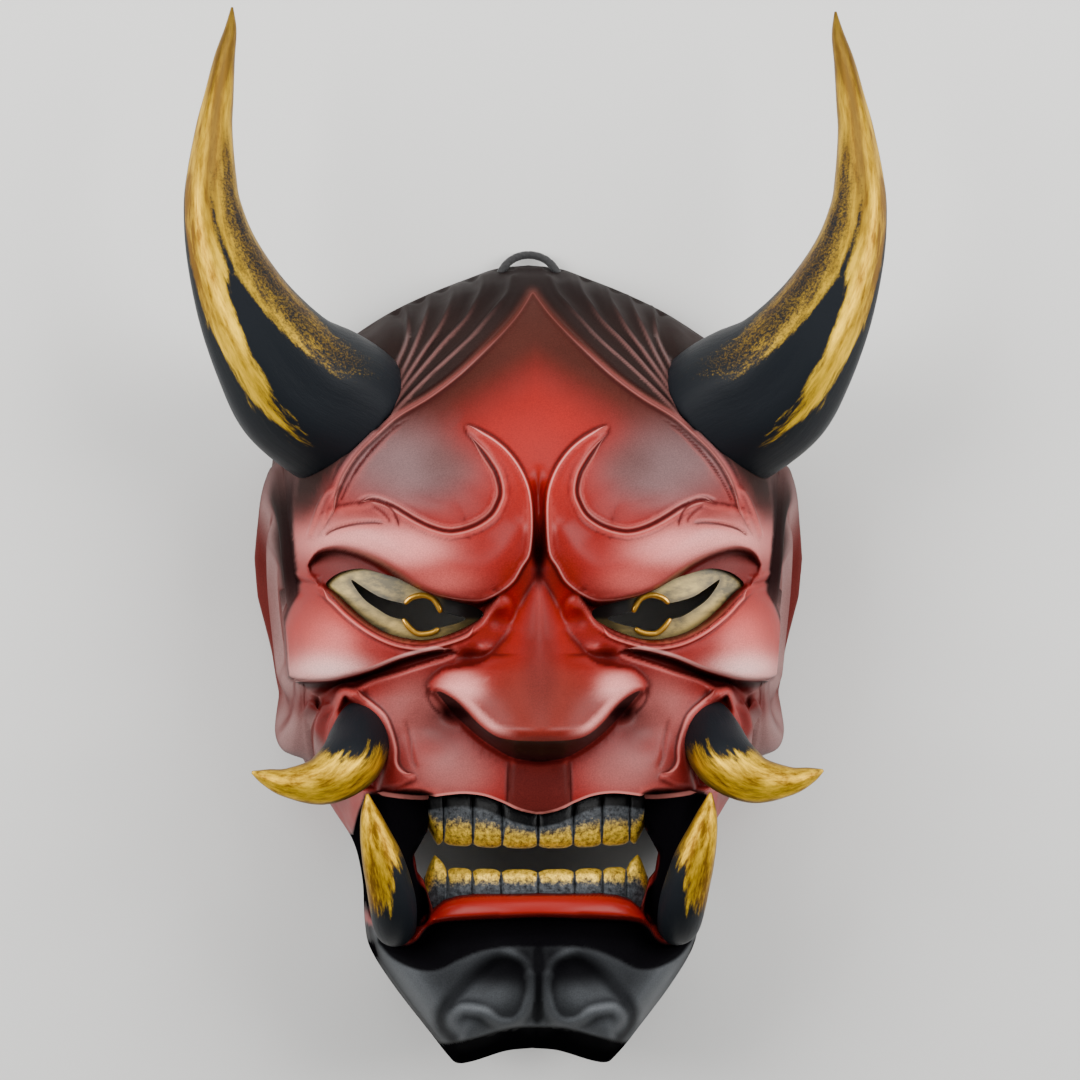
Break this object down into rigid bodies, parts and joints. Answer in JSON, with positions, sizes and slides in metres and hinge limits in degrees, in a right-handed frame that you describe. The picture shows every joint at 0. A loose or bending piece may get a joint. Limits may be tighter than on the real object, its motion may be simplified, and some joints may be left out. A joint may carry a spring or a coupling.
{
  "type": "hannya mask",
  "caption": "Hollow red demon face mask with curved horns, tusks, bared teeth, cut-out eye plates and a cord loop for hanging, lying face up on its back rim.",
  "frame": {"origin": "middle of the mask's outline, on the plane that its back rim rests on", "axes": "+X to the viewer's right, +Y from chin to horn tips, +Z out of the face towards the viewer"},
  "size_m": [0.263, 0.4052, 0.1362],
  "materials": {
    "red_shell": "satin airbrushed red over cast resin, black hair cap, lips' recess and chin",
    "horn_gold": "gold dry-brushed over satin black",
    "tusk_gold": "gold rubbed over black, worn towards the root",
    "tooth_gold": "gold biting edges over slate black",
    "eye_brass": "pale brass paint shaded grey, bright gold pupil ring",
    "black_cord": "round braided cord"
  },
  "bodies": {
    "root": {"mask_shell": "red_shell", "horn_left": "horn_gold", "horn_right": "horn_gold", "cheek_tusk_left": "tusk_gold", "cheek_tusk_right": "tusk_gold", "lower_tusk_left": "tusk_gold", "lower_tusk_right": "tusk_gold", "eye_left": "eye_brass", "eye_right": "eye_brass", "upper_teeth": "tooth_gold", "lower_teeth": "tooth_gold", "hanging_loop": "black_cord"}
  },
  "joints": []
}
